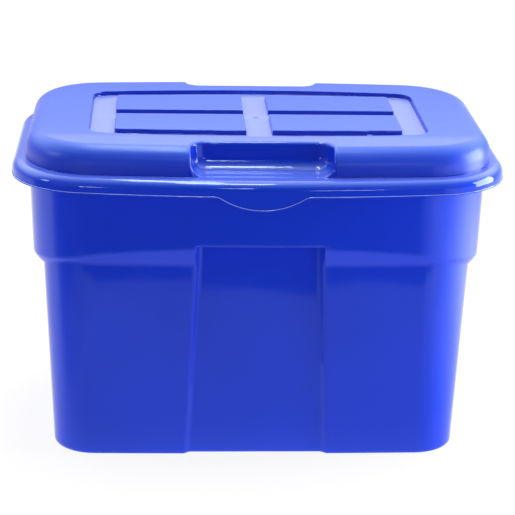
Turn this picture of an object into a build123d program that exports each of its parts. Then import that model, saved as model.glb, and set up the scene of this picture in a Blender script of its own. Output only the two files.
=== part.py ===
from build123d import *
import math
import os

os.makedirs("parts", exist_ok=True)

# A large storage tote in two moulded pieces: a thin-walled tub and a domed lift-off lid.
# Millimetres. The origin is on the floor under the middle of the tub, the long side runs
# along X, and the front (the back is the same) faces -Y.

# ------------------------------------------------------------------ driving dimensions
WALL = 2.5                     # moulded wall of both pieces
LID_TOP = 403.0                # flat top of the lid
FLANGE_TOP = 369.0             # top of the flange around the lid's dome
SKIRT_BOTTOM = 350.5           # lower edge of the lid's skirt
SEAT_GAP = 0.1                 # between the lid's flange and the tub's rim

# A plan outline is: half length, half width, corner radius, radius of the bowed long side.
RIM_PLAN = (300.0, 200.0, 98.0, 1576.0)       # outside of the lid's skirt
DOME_PLAN = (284.0, 179.0, 88.0, 2500.0)      # foot of the dome
PANEL_PLAN = (207.0, 115.5, 22.0, 1500.0)     # recessed panel in the lid's top
PADS_PLAN = (176.0, 89.0, 5.0, 3870.0)        # outside of the four pads in the panel
BAND_PLAN = (276.7, 176.3, 93.4, 2427.0)      # the tub's upper band, at its foot
SHOULDER_PLAN = (270.0, 152.6, 75.0, 8000.0)  # sloping underside of the band, at its foot
BODY_PLAN = (253.4, 152.7, 53.0, 10000.0)     # the tub's body, at the floor
BASE_PLAN = (234.0, 127.0, 36.0, 10000.0)     # raised middle of the base, inside its foot ring

# lid: flange, skirt and dome
FLANGE_ROUND = 11.5            # between the skirt's face and the flange's top
DOME_DRAFT = 2.0               # degrees
DOME_ROUND = 22.0              # shoulder of the dome
LIP_HEIGHT = 1.7               # fine lip round the lower edge of the skirt
LIP_PROUD = 0.9
LIP_ROUND = 0.7
BEAD_HEIGHT = 353.2            # middle of the snap bead inside the skirt
BEAD_RADIUS = 1.6

# lid: recessed panel with its pads
PANEL_DEPTH = 7.0
PANEL_FLOOR_ROUND = 3.0
PANEL_EDGE_ROUND = 1.2
PAD_CHANNEL_X = 15.9           # half width of the channel between left and right pads
PAD_CHANNEL_Y = 9.8            # half width of the channel between front and back pads
PAD_CORNER = 5.0
PAD_EDGE_ROUND = 1.2
PAD_FOOT_ROUND = 2.4
GATE_RADIUS = 4.0              # witness mark of the moulding gate, in the middle of the panel
GATE_PROUD = 0.5

# lid: grip recesses cut into the dome, front and back
GRIP_HALF_WIDTH = 85.0         # at the lid's top
GRIP_BACK = 144.0              # distance of the back wall's foot from the middle
GRIP_BACK_FLOOR = 371.5        # height of the floor at the back wall
GRIP_RAMP_END = 172.0          # where the floor has run down to the flange
GRIP_DRAFT = 4.0               # degrees
GRIP_CORNER = 18.0
GRIP_FLOOR_ROUND = 16.0
GRIP_EDGE_ROUND = 4.0

# lid: pull tabs hanging from the skirt, front and back
TAB_HALF_WIDTH = 52.5
TAB_DEPTH = 16.5
TAB_BLEND = 20.0

# tub: body, shoulder and band
TUB_TOP = FLANGE_TOP - WALL - SEAT_GAP
BAND_FOOT = 236.0
BAND_DRAFT = 1.66              # degrees, wider upward
SHOULDER_DRAFT = 29.6          # degrees, wider upward
SHOULDER_TOP = 300.0           # above this height the band is plain
SHOULDER_FOOT_ROUND = 18.0
SHOULDER_EDGE_ROUND = 2.0
BODY_DRAFT = 2.35              # degrees, wider upward
BODY_FOOT_ROUND = 3.5
BASE_RISE = 3.0

# tub: rolled rim
RIM_INSET = 4.7                # from the outside of the lid's skirt
RIM_LIP_WALL = 2.3
RIM_LIP_BOTTOM = 355.5
RIM_ROUND = 7.5                # follows the inside of the lid's flange
MOUTH_ROUND = 1.0

# tub: recesses in the middle of the long sides, front and back
RECESS_TOP = 282.0
RECESS_BACK_TOP = 154.5        # distance of the recess's back from the middle, at its top
RECESS_BACK_FOOT = 147.0       # and at the floor
RECESS_HALF_TOP = 70.5         # half width of the recess's back, at its top
RECESS_HALF_FOOT = 82.0        # and at the floor
RECESS_MOUTH_TOP = 76.5        # half width of the mouth, at its top
RECESS_MOUTH_FOOT = 90.5       # and at the floor
RECESS_ROUND = 2.0             # inside corners
RECESS_EDGE_ROUND = 3.4        # where the side walls meet the body
LEDGE_ROUND = 1.5              # band and shoulder around the recess

FAR = 300.0                    # reach of the cutters past the tote


# ------------------------------------------------------------------ shared shapes
def plan_face(plan, z, grow=0.0):
    """Plan outline at height z: two bowed long sides, two straight ends, tangent corner arcs."""
    half_length, half_width, corner, bow = (size + grow for size in plan)
    bow_centre = half_width - bow
    corner_x = half_length - corner
    corner_y = bow_centre + math.sqrt((bow - corner) ** 2 - corner_x**2)
    turn = math.atan2(corner_y - bow_centre, corner_x)
    end = (half_length, corner_y)
    bend = (corner_x + corner * math.cos(turn / 2), corner_y + corner * math.sin(turn / 2))
    side = (bow * math.cos(turn), bow_centre + bow * math.sin(turn))
    edges = []
    for s in (1, -1):
        right = [(s * x, s * y, z) for x, y in (end, bend, side)]
        left = [(-s * x, s * y, z) for x, y in (side, bend, end)]
        edges.append(Line((s * end[0], -s * end[1], z), right[0]))
        edges.append(ThreePointArc(*right))
        edges.append(ThreePointArc(right[2], (0, s * half_width, z), left[0]))
        edges.append(ThreePointArc(*left))
    return make_face(edges)


def prism(plan, bottom, top, draft=0.0, grow=0.0):
    """Solid standing on a plan outline. A positive draft narrows it upward."""
    return extrude(plan_face(plan, bottom, grow), top - bottom, taper=draft)


def top_edges(solid):
    return solid.edges().group_by(Axis.Z)[-1]


def bottom_edges(solid):
    return solid.edges().group_by(Axis.Z)[0]


def mirrored(solid):
    """The front feature's twin at the back."""
    return Rot(0, 0, 180) * solid


def ring(plan, bottom, top, outer, inner):
    """Upright band between two offsets of a plan outline."""
    return prism(plan, bottom, top, grow=outer) - prism(plan, bottom, top, grow=inner)


# ------------------------------------------------------------------ lid
def grip(grow=0.0):
    """Scoop for the fingers: drafted back and sides, and a floor that runs out to the flange."""
    floor = FLANGE_TOP - grow
    rise = LID_TOP + 10 - floor
    half = GRIP_HALF_WIDTH - (LID_TOP - FLANGE_TOP) * math.tan(math.radians(GRIP_DRAFT)) + grow
    back = grow - GRIP_BACK
    plan = Pos(0, (back - FAR) / 2, floor) * Rectangle(2 * half, FAR + back)
    scoop = extrude(plan, rise, taper=-GRIP_DRAFT)

    slope = (GRIP_BACK_FLOOR - FLANGE_TOP) / (GRIP_RAMP_END - GRIP_BACK)
    ramp_back = back + 8
    ramp_top = floor + slope * (ramp_back + GRIP_RAMP_END)
    ramp = Polyline(
        (0, ramp_back, floor - 1),
        (0, ramp_back, ramp_top),
        (0, -GRIP_RAMP_END, floor),
        (0, -GRIP_RAMP_END, floor - 1),
        close=True,
    )
    scoop -= extrude(make_face(ramp), FAR, both=True)

    inner = [e for e in scoop.edges() if (e @ 0.5).Y > 20 - FAR]
    upright = [e for e in inner if abs((e @ 0).Z - (e @ 1).Z) > rise / 2]
    scoop = fillet(upright, GRIP_CORNER + grow)
    inner = [e for e in scoop.edges() if (e @ 0.5).Y > 20 - FAR]
    low = [e for e in inner if max((e @ 0).Z, (e @ 1).Z) < GRIP_BACK_FLOOR + 3]
    crease = [e for e in low if abs((e @ 0.5).X) < 1 and (e @ 0.5).Y < -GRIP_RAMP_END + 1]
    low = [e for e in low if e not in crease]
    return fillet(low, GRIP_FLOOR_ROUND + grow)


def plain_dome(inset=0.0):
    """Flat-topped dome without its recesses."""
    body = prism(DOME_PLAN, FLANGE_TOP - 2 * WALL, LID_TOP - inset, DOME_DRAFT, grow=-inset)
    return fillet(top_edges(body), DOME_ROUND - inset)


def dome(inset=0.0):
    """Dome with a grip recess at the front and at the back."""
    scoop = grip(inset)
    return plain_dome(inset) - (scoop + mirrored(scoop))


def round_grip_mouths(body):
    """Round the edge where each grip recess breaks through the dome."""
    inside = plain_dome(0.05)
    high = [e for e in body.edges() if (e @ 0.5).Z > FLANGE_TOP - 0.5]
    across = [e for e in high if abs((e @ 0.5).X) < GRIP_HALF_WIDTH + 5]
    ends = [e for e in across if abs((e @ 0.5).Y) > GRIP_BACK - 5]
    mouth = [e for e in ends if not inside.is_inside(e @ 0.5)]
    return fillet(mouth, GRIP_EDGE_ROUND)


def panel_pocket(grow=0.0):
    pocket = prism(PANEL_PLAN, LID_TOP - PANEL_DEPTH - grow, LID_TOP + 5, grow=grow)
    return fillet(bottom_edges(pocket), PANEL_FLOOR_ROUND + grow)


def pads(inset=0.0):
    """Four raised pads, flush with the lid's top: one bowed block split by a cross of channels."""
    foot = LID_TOP - PANEL_DEPTH - 1
    if inset:
        foot -= WALL
    block = prism(PADS_PLAN, foot, LID_TOP - inset, grow=-inset)
    height = 2 * LID_TOP + 10
    block -= Box(2 * (PAD_CHANNEL_X + inset), 2 * FAR, height)
    block -= Box(3 * FAR, 2 * (PAD_CHANNEL_Y + inset), height)
    rounded = Part()
    for pad in block.solids():
        inner = [e for e in pad.edges().filter_by(Axis.Z) if abs((e @ 0.5).X) < PADS_PLAN[0] - 5 - inset]
        pad = fillet(inner, max(PAD_CORNER - inset, 0.5))
        if inset == 0:
            pad = fillet(top_edges(pad), PAD_EDGE_ROUND)
        rounded += pad
    return rounded


def round_pad_feet(body):
    """Round the inside corner where the pads rise from the panel's floor."""
    floor = LID_TOP - PANEL_DEPTH
    level = [e for e in body.edges() if abs((e @ 0).Z - floor) + abs((e @ 1).Z - floor) < 0.01]
    within = [e for e in level if abs((e @ 0.5).X) < PADS_PLAN[0] + 1]
    feet = [e for e in within if abs((e @ 0.5).Y) < PADS_PLAN[1] + 1]
    return fillet(feet, PAD_FOOT_ROUND)


def gate_mark():
    """Low round button left by the moulding gate."""
    floor = LID_TOP - PANEL_DEPTH
    button = Pos(0, 0, floor - 0.5) * extrude(Circle(GATE_RADIUS), GATE_PROUD + 0.5)
    dimple = Pos(0, 0, floor + 0.1) * extrude(Circle(GATE_RADIUS / 3), GATE_PROUD)
    return fillet(top_edges(button), GATE_PROUD / 2) - dimple


def tab_profile():
    """Front view of the skirt's lower edge with its hanging tab, blended at both ends."""
    strip_height = 2.5 * LIP_HEIGHT
    span = TAB_HALF_WIDTH + TAB_BLEND
    radius = (TAB_HALF_WIDTH**2 + TAB_DEPTH**2) / (2 * TAB_DEPTH)
    strip = Pos(0, SKIRT_BOTTOM + strip_height / 2) * Rectangle(2 * span, strip_height)
    disc = Pos(0, SKIRT_BOTTOM - TAB_DEPTH + radius) * Circle(radius)
    above = Pos(0, SKIRT_BOTTOM + strip_height + radius) * Rectangle(4 * radius, 2 * radius)
    face = strip + (disc - above)
    joins = [v for v in face.vertices() if abs(v.Y - SKIRT_BOTTOM) < 0.01 and abs(v.X) < span - 1]
    return fillet(joins, TAB_BLEND)


def tab():
    """Pull tab in the plane of the skirt, edged with the same fine lip."""
    profile = tab_profile()
    edge = profile - Pos(0, LIP_HEIGHT) * profile
    bottom = SKIRT_BOTTOM - TAB_DEPTH - 1
    top = SKIRT_BOTTOM + 2.5 * LIP_HEIGHT
    reach = extrude(Plane.XZ * profile, FAR)
    plate = reach & ring(RIM_PLAN, bottom, top, 0, -WALL)
    lip = extrude(Plane.XZ * edge, FAR) & ring(RIM_PLAN, bottom, top, LIP_PROUD, -WALL / 2)

    behind = prism(RIM_PLAN, bottom - 1, top + 1, grow=LIP_PROUD - 0.05)
    outside = [e for e in lip.edges() if not behind.is_inside(e @ 0.5)]
    upper = [e for e in outside if reach.is_inside((e @ 0.5) - Vector(0, 0, 0.7 * LIP_HEIGHT))]
    return plate + fillet(upper, LIP_ROUND)


def skirt_lip():
    """Fine lip round the skirt's lower edge, left open where the tabs carry their own."""
    top = SKIRT_BOTTOM + LIP_HEIGHT
    lip = prism(RIM_PLAN, SKIRT_BOTTOM, top, grow=LIP_PROUD)
    lip = fillet(top_edges(lip), LIP_ROUND)
    lip -= prism(RIM_PLAN, SKIRT_BOTTOM - 1, top + 1, grow=-WALL / 2)
    return lip - Pos(0, 0, SKIRT_BOTTOM) * Box(2 * (TAB_HALF_WIDTH + TAB_BLEND), 3 * FAR, 20)


def snap_bead():
    """Rounded bead inside the skirt, just under the tub's rim."""
    bottom = BEAD_HEIGHT - BEAD_RADIUS
    top = BEAD_HEIGHT + BEAD_RADIUS
    inner = -WALL - BEAD_RADIUS
    bead = ring(RIM_PLAN, bottom, top, -WALL / 2, inner)
    inside = prism(RIM_PLAN, bottom - 1, top + 1, grow=inner + 0.1)
    exposed = [e for e in bead.edges() if (e @ 0.5).Z != BEAD_HEIGHT and inside.is_inside(e @ 0.5)]
    return fillet(exposed, 0.9 * BEAD_RADIUS)


def make_lid():
    slab = prism(RIM_PLAN, SKIRT_BOTTOM, FLANGE_TOP)
    slab = fillet(top_edges(slab), FLANGE_ROUND)
    outer = round_grip_mouths(dome()) - panel_pocket()
    panel_edge = [e for e in top_edges(outer) if abs((e @ 0.5).Y) < PANEL_PLAN[1] + 1]
    panel_edge = [e for e in panel_edge if abs((e @ 0.5).X) < PANEL_PLAN[0] + 1]
    outer = fillet(panel_edge, PANEL_EDGE_ROUND)
    outer += slab
    outer = round_pad_feet(outer + pads())
    outer += gate_mark()

    hollow = prism(RIM_PLAN, SKIRT_BOTTOM - 5, FLANGE_TOP - WALL, grow=-WALL)
    hollow = fillet(top_edges(hollow), FLANGE_ROUND - WALL)
    hollow += dome(WALL) - panel_pocket(WALL)
    hollow += pads(WALL)

    lid = outer - hollow
    front_tab = tab()
    lid += front_tab + mirrored(front_tab)
    lid += skirt_lip()
    lid += snap_bead()
    return lid


# ------------------------------------------------------------------ tub
def body(bay, inset=0.0):
    """Tapered body with its front and back bays. The inset one is its hollow."""
    widen = inset * math.tan(math.radians(BODY_DRAFT))
    solid = prism(BODY_PLAN, inset, SHOULDER_TOP, -BODY_DRAFT, grow=widen - inset)
    solid -= bay + mirrored(bay)
    if inset:
        return solid
    tall = [e for e in solid.edges() if abs((e @ 0).Z - (e @ 1).Z) > RECESS_TOP / 2]
    sides = [e for e in tall if abs((e @ 0.5).X) < 100 and abs((e @ 0.5).Y) > RECESS_BACK_TOP + 1]
    solid = fillet(sides, RECESS_EDGE_ROUND)
    return fillet(bottom_edges(solid), BODY_FOOT_ROUND)


def band(bay, inset=0.0):
    """Upper band over a sloping shoulder. The bow of its long sides arches the lower edge."""
    top = TUB_TOP + inset
    wide = prism(BAND_PLAN, BAND_FOOT, top, -BAND_DRAFT, grow=-inset)
    level = inset / math.cos(math.radians(SHOULDER_DRAFT))
    shoulder = prism(SHOULDER_PLAN, BAND_FOOT, SHOULDER_TOP, -SHOULDER_DRAFT, grow=-level)
    shoulder = fillet(bottom_edges(shoulder), SHOULDER_FOOT_ROUND)
    above = prism(BAND_PLAN, SHOULDER_TOP - 1, top + 1, grow=FAR / 10)
    solid = wide & (shoulder + above)
    if inset:
        return solid - (bay + mirrored(bay))
    between = [e for e in solid.edges() if (e @ 0.5).Z < SHOULDER_TOP - 5]
    crest = [e for e in between if min((e @ 0).Z, (e @ 0.5).Z, (e @ 1).Z) > BAND_FOOT + 10]
    solid = fillet(crest, SHOULDER_EDGE_ROUND)
    solid -= bay + mirrored(bay)
    low = [e for e in solid.edges() if (e @ 0.5).Z < RECESS_TOP + 0.1 and abs((e @ 0.5).X) < 95]
    outside = [e for e in low if abs((e @ 0.5).Y) > RECESS_BACK_TOP + 10]
    ledge = [e for e in outside if abs((e @ 0.5).X) < 60 and (e @ 0.5).Z > RECESS_TOP - 0.1]
    sides = [e for e in outside if abs((e @ 0.5).X) > 75 and (e @ 0.5).Z < RECESS_TOP - 0.1]
    return fillet(ledge + sides, LEDGE_ROUND)


def recess_section(z, half, back, mouth_half, grow):
    """Plan of the recess cutter: side walls slant out to the body's face, then run straight."""
    face_y = BODY_PLAN[1] + z * math.tan(math.radians(BODY_DRAFT)) + 0.5
    corners = [
        (-mouth_half, -FAR, z),
        (mouth_half, -FAR, z),
        (mouth_half, -face_y, z),
        (half, -back, z),
        (-half, -back, z),
        (-mouth_half, -face_y, z),
    ]
    section = make_face(Polyline(*corners, close=True))
    if grow:
        section = offset(section, grow, kind=Kind.INTERSECTION)
    return section


def recess(grow=0.0):
    """Shallow bay in the long side: square under the band, open at the foot."""
    foot = recess_section(-1, RECESS_HALF_FOOT, RECESS_BACK_FOOT, RECESS_MOUTH_FOOT, grow)
    top = recess_section(RECESS_TOP + grow, RECESS_HALF_TOP, RECESS_BACK_TOP, RECESS_MOUTH_TOP, grow)
    bay = loft([foot, top], ruled=True)
    inner = [e for e in bay.edges() if (e @ 0.5).Y > -RECESS_BACK_TOP + 1]
    upright = [e for e in inner if abs((e @ 0).Z - (e @ 1).Z) > RECESS_TOP / 2]
    return fillet(upright, RECESS_ROUND + grow)


def rim():
    """Rim turned out and down: a flat seat for the lid with a lip along its edge."""
    seat_bottom = TUB_TOP - WALL
    slab = prism(RIM_PLAN, RIM_LIP_BOTTOM, TUB_TOP, grow=-RIM_INSET)
    slab = fillet(top_edges(slab), RIM_ROUND)
    under = prism(RIM_PLAN, RIM_LIP_BOTTOM - 1, seat_bottom, grow=-RIM_INSET - RIM_LIP_WALL)
    under = fillet(top_edges(under), RIM_ROUND - RIM_LIP_WALL)
    return slab - under


def make_tub():
    bay = recess()
    outer = body(bay) + band(bay)
    outer -= prism(BASE_PLAN, -1, BASE_RISE)
    outer += rim()

    inner_bay = recess(WALL)
    hollow = body(inner_bay, WALL) + band(inner_bay, WALL)
    hollow -= prism(BASE_PLAN, 0, BASE_RISE + WALL, grow=WALL)
    tub = outer - hollow
    mouth = [e for e in top_edges(tub) if abs((e @ 0.5).X) < BAND_PLAN[0] + 2]
    mouth = [e for e in mouth if abs((e @ 0.5).Y) < BAND_PLAN[1] + 2]
    return fillet(mouth, MOUTH_ROUND)


# ------------------------------------------------------------------ write the pieces
pieces = {
    "tub": make_tub(),
    "lid": make_lid(),
}
for name, piece in pieces.items():
    export_step(piece, f"parts/{name}.step")
    size = piece.bounding_box().size
    print(name, "valid" if piece.is_valid else "INVALID", len(piece.solids()), "solid", size)
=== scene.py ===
import math

import bpy
from mathutils import Matrix, Vector

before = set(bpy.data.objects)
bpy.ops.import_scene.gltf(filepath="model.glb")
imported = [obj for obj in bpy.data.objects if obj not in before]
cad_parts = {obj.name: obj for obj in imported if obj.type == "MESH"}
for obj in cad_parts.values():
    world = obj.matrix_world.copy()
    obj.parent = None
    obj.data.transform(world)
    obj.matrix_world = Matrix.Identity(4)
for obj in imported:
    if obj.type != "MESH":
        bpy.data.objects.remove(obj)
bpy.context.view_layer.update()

# Metres and radians. The tote stands on the floor with its front towards -Y.
# A pair of numbers is the start and the end of a smooth change, apart from CLIP and POOL_PLACE.

# ------------------------------------------------------------------ camera
PITCH = 0.3311          # the view slopes down by this
YAW = 0.0572            # the camera stands a little to the left of the front
ROLL = 0.0225
DISTANCE = 2.395        # from the aim point
AIM_HEIGHT = 0.190
AIM_RIGHT = 0.0061      # aim point's offset in the picture plane
AIM_UP = 0.0179
SENSOR = 36.0           # millimetres
LENS = 128.8
CLIP = (0.05, 60.0)

# ------------------------------------------------------------------ light tent
# Radiances. A height in the tent is the sine of the elevation. Behind and overhead the tent is
# one soft sky. In front is an unlit room: it throws little light on the tote, and mirror images
# show it dark up to half height.
SKY_LOW = 0.45              # near the horizon
SKY_HIGH = 2.60             # from about 40 degrees up
SKY_TOP = 2.10              # overhead
SKY_RISE = (0.15, 0.62)     # heights, from SKY_LOW to SKY_HIGH
SKY_CROWN = (0.60, 0.95)    # and from SKY_HIGH to SKY_TOP
TO_FRONT = (0.30, -0.30)    # Y of the direction, from the sky to the room
ROOM_LIGHT = (0.02, 0.28)   # thrown on the tote, rising with height
ROOM_LIGHT_START = 0.06
ROOM_MIRROR = (0.05, 1.00)  # seen in mirror images, rising with height
ROOM_MIRROR_START = 0.55
SIDE_FILL = 0.35            # added in mirror images, away from the middle
TO_SIDE = (0.05, 0.40)      # X of the direction

# ------------------------------------------------------------------ floor
FLOOR_REACH = 12.0
FLOOR_ROUGHNESS = 0.9
FLOOR_ALBEDO = 0.88
FLOOR_LIFT = 0.88           # share of plain white in what the camera sees
# The paper's radiance in mirror images of it
PAPER_NEAR = 0.60           # in front of the tote
PAPER_LEFT = 0.45           # left of it
PAPER_FAR_LEFT = 0.30       # times this at the paper's left end
PAPER_BACK = 1.10
PAPER_RIGHT = 1.15          # outside the lamp's pool
POOL = 2.10                 # the side lamp's pool on the paper, added
POOL_PLACE = (1.05, 0.0)
POOL_REACH = 0.75
ROOM_FLOOR = 0.12           # unlit floor past the front end of the paper
ROOM_SLANT = (-0.10, 0.45)  # it brightens to the right, along X plus a share of Y
ROOM_SLANT_Y = 0.5
# Where one part of the paper changes into the next
NEAR_Y = (-0.05, -0.25)
LEFT_X = (-0.30, -0.50)
RIGHT_X = (0.25, 0.55)
FAR_LEFT_X = (-0.45, -0.85)
FAR_LEFT_Y = (-0.05, -0.45)
PAPER_END_Y = (-0.675, -0.655)
# The light that the paper throws on the tote is its radiance in mirror images times these
BOUNCE_AT_FOOT = 2.2
BOUNCE = 2.6                # in front, away from the foot
BOUNCE_BEHIND = 0.35        # share of it behind the tote
FOOT_Y = (-0.15, -0.45)
BEHIND_Y = (0.05, 0.25)
LEFT_FILL = 0.90            # added to the light from the left
LEFT_FILL_X = (-0.30, -0.55)

# ------------------------------------------------------------------ lamps
# Name, place, aim point, width, height, radiance. The last three draw streaks on the flange.
LAMPS = (
    ("top_front", (-0.03, -0.36, 2.40), (-0.03, -0.36, 0.38), 0.38, 0.50, 18.0),
    ("top_back", (-0.19, 0.42, 2.40), (-0.19, 0.42, 0.38), 0.34, 1.06, 11.0),
    ("right_box", (1.37, -0.10, 0.50), (0.27, -0.10, 0.36), 0.80, 0.85, 11.5),
    ("left_box", (-1.59, -0.57, 0.92), (-0.26, -0.17, 0.36), 0.30, 0.30, 8.0),
    ("front_right", (0.78, -3.10, 0.73), (0.11, -0.19, 0.36), 0.50, 0.20, 11.0),
    ("front_middle", (0.00, -2.76, 1.90), (-0.04, -0.20, 0.36), 0.20, 0.15, 30.0),
    ("front_left", (-1.09, -3.04, 0.45), (-0.21, -0.17, 0.36), 0.25, 0.25, 12.0),
)

# ------------------------------------------------------------------ edges of the lid's parts
# X and Y count from the middle to both sides, apart from STRIP_Y. The top is at 0.403.
DOME_Z = (0.3690, 0.3705)   # up from the flat flange around the dome
PANEL_X = (0.2073, 0.2063)  # into the recessed panel
PANEL_Y = (0.1158, 0.1148)
PANEL_Z = (0.4026, 0.4018)
FLOOR_Z = (0.3974, 0.3964)  # onto the panel's floor
GRIP_X = (0.0890, 0.0850)   # into the finger recesses
GRIP_Y = (0.1380, 0.1395)
GRIP_Z = (0.4028, 0.4022)
STRIP_Y = (-0.105, -0.125)  # onto the strip between the panel and the front shoulder, which gets a painted sheen
LIP_Z = (0.3560, 0.3555)    # down to the skirt's fine lip
# How far a face has to be turned up: the Z part of its normal. The first range is for the painted
# light on the lid's top.
PAINTED_LIGHT_UP = (0.10, 1.00)
LEVEL_UP = (0.80, 0.97)
LEDGE_UP = (0.55, 0.95)
STRIP_UP = (0.97, 1.00)
LIP_UP = (0.15, 0.60)

# ------------------------------------------------------------------ plastics
# Linear RGB
TUB_BLUE = (0.0060, 0.0330, 0.580)
LID_BLUE = (0.0060, 0.0340, 0.580)
PAINTED_LIGHT_BLUE = (0.0160, 0.0780, 0.620)      # painted light: lighter blue on the lid's faces turned up to the lamps
SHADE_BLUE = (0.0040, 0.0150, 0.300)    # painted shade on the walls of the panel's steps
PAINTED_SHEEN_BLUE = (0.300, 0.340, 0.800)       # painted sheen and light on the satin grain, the stippled floor, the glossy ledges and the front strip
PAINTED_LIP_HIGHLIGHT = (0.240, 0.360, 0.950)        # painted highlight along the thin edge of the skirt's lip
COOL_SHEEN = (0.78, 1.00, 1.00)         # tint of the mirror images
# Shares of the painted sheen colour, and of the painted shade colour in the steps
PAINTED_GRAIN_SHEEN = (0.02, 0.06)
PAINTED_STIPPLE_SHEEN = 0.60
PAINTED_LEDGE_LIGHT = 0.20
PAINTED_STRIP_SHEEN = 0.20
STEP_SHADE = 0.60
TUB_CLOUDS = 0.06           # lighter and darker clouds of pigment
LID_CLOUDS = 0.05

IOR = 1.49
TUB_ROUGHNESS = (0.05, 0.09)
LID_ROUGHNESS = 0.045
SATIN_ROUGHNESS = 0.265     # added on the dome
STIPPLE_ROUGHNESS = 0.15    # added on the panel's floor
LID_HANDLING = (0, 0.045)   # added in patches

TUB_EDGES = 0.0065          # radius of the softening over edges
LID_EDGES = 0.0008
EDGE_SAMPLES = 8
TUB_WAVES = 0.0014          # height of the slow waves in the moulded sheet
LID_WAVES = 0.0005
PEEL_HEIGHT = 0.00003       # orange peel
PEEL_STRENGTH = 0.5
GRAIN_HEIGHT = 0.00006      # satin grain
GRAIN_STRENGTH = 0.35
TOP_CROWN = 0.22            # the dome is shaded as if it fell by this times Y squared

# Noise: cells per metre, detail, roughness of the detail
CLOUD_NOISE = (5.0, 3.0, 0.5)
WAVE_NOISE = (7.0, 1.0, 0.5)
PEEL_NOISE = (260.0, 2.0, 0.5)
GRAIN_NOISE = (1400.0, 2.0, 0.6)
TUB_PATCHES = (38.0, 4.0, 0.6)
LID_PATCHES = (30.0, 4.0, 0.6)
# The part of a noise's values that is spread over the result
CLOUD_RANGE = (0.25, 0.75)
PATCH_RANGE = (0.30, 0.75)
GRAIN_RANGE = (0.35, 0.70)


# ------------------------------------------------------------------ helpers
def link(obj):
    bpy.context.scene.collection.objects.link(obj)
    return obj


class Graph:
    """Adds shader nodes to one tree. Inputs may be sockets or plain values."""

    def __init__(self, tree):
        self.tree = tree

    def add(self, kind, inputs=None, **settings):
        made = self.tree.nodes.new(kind)
        for key, value in settings.items():
            setattr(made, key, value)
        for key, value in (inputs or {}).items():
            self.plug(value, made.inputs[key])
        return made

    def plug(self, value, socket):
        if isinstance(value, bpy.types.NodeSocket):
            self.tree.links.new(value, socket)
        else:
            socket.default_value = value

    def math(self, operation, a, b=0.0):
        return self.add("ShaderNodeMath", {0: a, 1: b}, operation=operation).outputs[0]

    def total(self, first, *others):
        for other in others:
            first = self.math("ADD", first, other)
        return first

    def product(self, first, *others):
        for other in others:
            first = self.math("MULTIPLY", first, other)
        return first

    def inverse(self, value):
        return self.math("SUBTRACT", 1.0, value)

    def blend(self, factor, a, b):
        """Value a where the factor is 0, b where it is 1."""
        return self.total(self.product(factor, b), self.product(self.inverse(factor), a))

    def step(self, value, start, end, low=0.0, high=1.0):
        """Smooth change from low to high while value goes from start to end."""
        wiring = {"Value": value, "From Min": start, "From Max": end, "To Min": low, "To Max": high}
        return self.add("ShaderNodeMapRange", wiring, interpolation_type="SMOOTHSTEP").outputs[0]

    def mix(self, factor, a, b):
        """Colour a where the factor is 0, b where it is 1."""
        node = self.add("ShaderNodeMix", data_type="RGBA")
        self.plug(factor, node.inputs[0])
        self.plug(a, node.inputs[6])
        self.plug(b, node.inputs[7])
        return node.outputs[2]

    def scale(self, color, factor):
        wiring = {0: color, "Scale": factor}
        return self.add("ShaderNodeVectorMath", wiring, operation="SCALE").outputs[0]

    def split(self, vector):
        return self.add("ShaderNodeSeparateXYZ", {0: vector}).outputs

    def noise(self, vector, scale, detail, roughness):
        wiring = {"Vector": vector, "Scale": scale, "Detail": detail, "Roughness": roughness}
        return self.add("ShaderNodeTexNoise", wiring).outputs["Fac"]

    def bump(self, height, distance, strength, normal):
        wiring = {"Height": height, "Distance": distance, "Strength": strength, "Normal": normal}
        return self.add("ShaderNodeBump", wiring).outputs[0]


def new_material(name):
    material = bpy.data.materials.new(name)
    material.use_nodes = True
    return material, Graph(material.node_tree), material.node_tree.nodes["Principled BSDF"]


# ------------------------------------------------------------------ camera
def build_camera():
    turn = Matrix.Rotation(-YAW, 3, "Z")
    right = turn @ Vector((1, 0, 0))
    forward = turn @ Vector((0, math.cos(PITCH), -math.sin(PITCH)))
    up = turn @ Vector((0, math.sin(PITCH), math.cos(PITCH)))
    rolled_right = math.cos(ROLL) * right + math.sin(ROLL) * up
    rolled_up = math.cos(ROLL) * up - math.sin(ROLL) * right
    place = Vector((0, 0, AIM_HEIGHT)) + AIM_RIGHT * right + AIM_UP * up - DISTANCE * forward
    data = bpy.data.cameras.new("camera")
    data.sensor_width = SENSOR
    data.lens = LENS
    data.clip_start = CLIP[0]
    data.clip_end = CLIP[1]
    camera = bpy.data.objects.new("camera", data)
    axes = Matrix((rolled_right, rolled_up, -forward)).transposed()
    camera.matrix_world = Matrix.Translation(place) @ axes.to_4x4()
    link(camera)
    bpy.context.scene.camera = camera


# ------------------------------------------------------------------ studio
def tent(graph, parts, room, room_start):
    """Radiance in one direction: sky behind and overhead, room in front."""
    sky = graph.step(parts[2], *SKY_RISE, SKY_LOW, SKY_HIGH)
    crown = graph.step(parts[2], *SKY_CROWN, 0.0, SKY_TOP - SKY_HIGH)
    front = graph.step(parts[2], room_start, 1.0, *room)
    return graph.blend(graph.step(parts[1], *TO_FRONT), graph.total(sky, crown), front)


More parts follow.
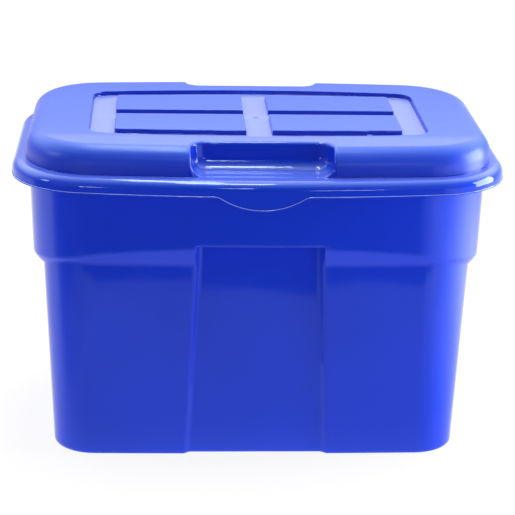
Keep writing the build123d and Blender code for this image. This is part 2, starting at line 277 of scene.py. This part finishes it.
def build_world():
    """The light tent. The camera itself sees plain white."""
    world = bpy.data.worlds.new("studio")
    bpy.context.scene.world = world
    world.use_nodes = True
    graph = Graph(world.node_tree)
    parts = graph.split(graph.add("ShaderNodeTexCoord").outputs["Generated"])
    rays = graph.add("ShaderNodeLightPath").outputs
    thrown = tent(graph, parts, ROOM_LIGHT, ROOM_LIGHT_START)
    side = graph.step(graph.math("ABSOLUTE", parts[0]), *TO_SIDE, 0.0, SIDE_FILL)
    mirrored = graph.total(tent(graph, parts, ROOM_MIRROR, ROOM_MIRROR_START), side)
    lit = graph.blend(rays["Is Glossy Ray"], thrown, mirrored)
    background = world.node_tree.nodes["Background"]
    background.inputs["Color"].default_value = (1, 1, 1, 1)
    graph.plug(graph.blend(rays["Is Camera Ray"], lit, 1.0), background.inputs["Strength"])


def paper_radiance(graph, x, y):
    """What the tote's walls mirror from the floor around it."""
    near = graph.step(graph.step(x, *LEFT_X), 0.0, 1.0, PAPER_NEAR, PAPER_LEFT)
    paper = graph.blend(graph.step(y, *NEAR_Y), PAPER_BACK, near)
    paper = graph.blend(graph.step(x, *RIGHT_X), paper, PAPER_RIGHT)
    far_left = graph.product(graph.step(x, *FAR_LEFT_X), graph.step(y, *FAR_LEFT_Y))
    paper = graph.product(paper, graph.step(far_left, 0.0, 1.0, 1.0, PAPER_FAR_LEFT))
    slant = graph.total(x, graph.product(y, ROOM_SLANT_Y))
    room = graph.step(slant, *ROOM_SLANT, ROOM_FLOOR, PAPER_RIGHT)
    seen = graph.blend(graph.step(y, *PAPER_END_Y), room, paper)
    place = graph.add("ShaderNodeCombineXYZ", {0: x, 1: y}).outputs[0]
    wiring = {0: place, 1: (*POOL_PLACE, 0)}
    away = graph.add("ShaderNodeVectorMath", wiring, operation="DISTANCE").outputs["Value"]
    return graph.total(seen, graph.step(away, POOL_REACH, 0.0, 0.0, POOL))


def build_floor():
    """Large pale floor. The camera sees it lifted close to the white background."""
    mesh = bpy.data.meshes.new("floor")
    reach = FLOOR_REACH
    corners = [(-reach, -reach, 0), (reach, -reach, 0), (reach, reach, 0), (-reach, reach, 0)]
    mesh.from_pydata(corners, [], [(0, 1, 2, 3)])
    floor = link(bpy.data.objects.new("floor", mesh))
    material, graph, shader = new_material("floor_paper")
    rays = graph.add("ShaderNodeLightPath").outputs
    albedo = graph.product(rays["Is Camera Ray"], 1.0 - FLOOR_LIFT, FLOOR_ALBEDO)
    color = graph.add("ShaderNodeCombineColor", {0: albedo, 1: albedo, 2: albedo}).outputs[0]
    graph.plug(color, shader.inputs["Base Color"])
    shader.inputs["Roughness"].default_value = FLOOR_ROUGHNESS
    shader.inputs["Specular IOR Level"].default_value = 0.0

    place = graph.split(graph.add("ShaderNodeTexCoord").outputs["Object"])
    x = place[0]
    y = place[1]
    bounce = graph.step(y, *FOOT_Y, BOUNCE_AT_FOOT, BOUNCE)
    behind = graph.step(y, *BEHIND_Y, 1.0, BOUNCE_BEHIND)
    share = graph.total(graph.product(rays["Is Diffuse Ray"], bounce, behind), rays["Is Glossy Ray"])
    left = graph.step(x, *LEFT_FILL_X, 0.0, LEFT_FILL)
    glow = graph.total(
        graph.product(share, paper_radiance(graph, x, y)),
        graph.product(rays["Is Diffuse Ray"], left),
        graph.product(rays["Is Camera Ray"], FLOOR_LIFT),
    )
    shader.inputs["Emission Color"].default_value = (1, 1, 1, 1)
    graph.plug(glow, shader.inputs["Emission Strength"])
    floor.data.materials.append(material)


def build_lamp(name, place, aim, width, height, radiance):
    """Rectangular lamp facing the aim point, hidden from the camera."""
    data = bpy.data.lights.new(name, "AREA")
    data.shape = "RECTANGLE"
    data.size = width
    data.size_y = height
    data.energy = radiance * math.pi * width * height
    lamp = link(bpy.data.objects.new(name, data))
    lamp.visible_camera = False
    facing = (Vector(aim) - Vector(place)).to_track_quat("-Z", "Y")
    lamp.matrix_world = Matrix.Translation(Vector(place)) @ facing.to_matrix().to_4x4()


# ------------------------------------------------------------------ plastics
def skin(graph, place, wave_height, edge_radius):
    """Normal with softened edges, slow waves of moulded sheet and a faint orange peel."""
    soft = graph.add("ShaderNodeBevel", {"Radius": edge_radius}, samples=EDGE_SAMPLES).outputs[0]
    slow = graph.bump(graph.noise(place, *WAVE_NOISE), wave_height, 1.0, soft)
    return graph.bump(graph.noise(place, *PEEL_NOISE), PEEL_HEIGHT, PEEL_STRENGTH, slow)


def cloudy(graph, place, color, spread):
    """The colour with large, faint clouds of pigment."""
    clouds = graph.noise(place, *CLOUD_NOISE)
    return graph.scale(color, graph.step(clouds, *CLOUD_RANGE, 1.0 - spread, 1.0 + spread))


def handled(graph, place, patches, low, high):
    """Roughness that varies in patches, from hands and cleaning."""
    return graph.step(graph.noise(place, *patches), *PATCH_RANGE, low, high)


def finish_plastic(graph, shader, color, roughness, normal):
    graph.plug(color, shader.inputs["Base Color"])
    graph.plug(roughness, shader.inputs["Roughness"])
    graph.plug(normal, shader.inputs["Normal"])
    shader.inputs["IOR"].default_value = IOR
    shader.inputs["Specular Tint"].default_value = (*COOL_SHEEN, 1)


def build_tub_material():
    material, graph, shader = new_material("tub_plastic")
    place = graph.add("ShaderNodeTexCoord").outputs["Object"]
    color = cloudy(graph, place, TUB_BLUE, TUB_CLOUDS)
    roughness = handled(graph, place, TUB_PATCHES, *TUB_ROUGHNESS)
    finish_plastic(graph, shader, color, roughness, skin(graph, place, TUB_WAVES, TUB_EDGES))
    return material


def lid_zones(graph, place, up):
    """Masks for the differently moulded parts of the lid. Up is the Z part of the normal."""
    x, y, z = graph.split(place)
    side = graph.math("ABSOLUTE", x)
    depth = graph.math("ABSOLUTE", y)
    dome = graph.step(z, *DOME_Z)
    grip = graph.product(
        graph.step(side, *GRIP_X),
        graph.step(depth, *GRIP_Y),
        graph.step(z, *GRIP_Z),
    )
    panel = graph.product(
        graph.step(side, *PANEL_X),
        graph.step(depth, *PANEL_Y),
        graph.step(z, *PANEL_Z),
    )
    level = graph.math("MAXIMUM", graph.step(z, *FLOOR_Z), graph.step(up, *LEVEL_UP))
    steps = graph.product(panel, graph.inverse(level))
    satin = graph.product(dome, graph.inverse(grip), graph.inverse(steps))
    glossy = graph.math("MAXIMUM", graph.inverse(dome), grip)
    return {
        "satin": satin,
        "stipple": graph.product(panel, level),
        "steps": steps,
        "ledge": graph.product(glossy, graph.step(up, *LEDGE_UP)),
        "strip": graph.product(satin, graph.step(y, *STRIP_Y), graph.step(up, *STRIP_UP)),
        "lip": graph.product(graph.step(z, *LIP_Z), graph.step(up, *LIP_UP)),
    }


def lid_color(graph, place, up, grain, zones):
    turned_up = graph.step(up, *PAINTED_LIGHT_UP)
    # Painted light: faces turned up get the lighter blue
    blue = graph.mix(turned_up, (*LID_BLUE, 1), (*PAINTED_LIGHT_BLUE, 1))
    blue = cloudy(graph, place, blue, LID_CLOUDS)
    # Painted sheen: paler blue on the lit satin grain, the panel's floor, the glossy ledges and the
    # front strip
    painted_sheen = graph.total(
        graph.product(zones["satin"], turned_up, graph.step(grain, *GRAIN_RANGE, *PAINTED_GRAIN_SHEEN)),
        graph.product(zones["stipple"], PAINTED_STIPPLE_SHEEN),
        graph.product(zones["ledge"], PAINTED_LEDGE_LIGHT),
        graph.product(zones["strip"], PAINTED_STRIP_SHEEN),
    )
    blue = graph.mix(painted_sheen, blue, (*PAINTED_SHEEN_BLUE, 1))
    # Painted shade: darker blue on the walls of the panel and its pads
    blue = graph.mix(graph.product(zones["steps"], STEP_SHADE), blue, (*SHADE_BLUE, 1))
    # Painted highlight on the lip's upward-turned round
    return graph.mix(zones["lip"], blue, (*PAINTED_LIP_HIGHLIGHT, 1))


def lid_normal(graph, place, grain, satin):
    """The skin, with the dome shaded as a slight crown under its satin grain."""
    y = graph.split(place)[1]
    smooth = skin(graph, place, LID_WAVES, LID_EDGES)
    crowned = graph.bump(graph.product(y, y, -TOP_CROWN), 1.0, satin, smooth)
    return graph.bump(grain, GRAIN_HEIGHT, graph.product(satin, GRAIN_STRENGTH), crowned)


def build_lid_material():
    """Satin dome with a stippled panel. The flange, the skirt and the grips are glossy."""
    material, graph, shader = new_material("lid_plastic")
    coords = graph.add("ShaderNodeTexCoord").outputs
    place = coords["Object"]
    up = graph.split(coords["Normal"])[2]
    grain = graph.noise(place, *GRAIN_NOISE)
    zones = lid_zones(graph, place, up)
    color = lid_color(graph, place, up, grain, zones)
    roughness = graph.total(
        LID_ROUGHNESS,
        graph.product(zones["satin"], SATIN_ROUGHNESS),
        graph.product(zones["stipple"], STIPPLE_ROUGHNESS),
        handled(graph, place, LID_PATCHES, *LID_HANDLING),
    )
    finish_plastic(graph, shader, color, roughness, lid_normal(graph, place, grain, zones["satin"]))
    return material


def dress(name, material):
    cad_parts[name].material_slots[0].material = material


build_camera()
build_world()
build_floor()
for lamp in LAMPS:
    build_lamp(*lamp)
dress("tub", build_tub_material())
dress("lid", build_lid_material())

bpy.context.scene.view_settings.view_transform = "Standard"
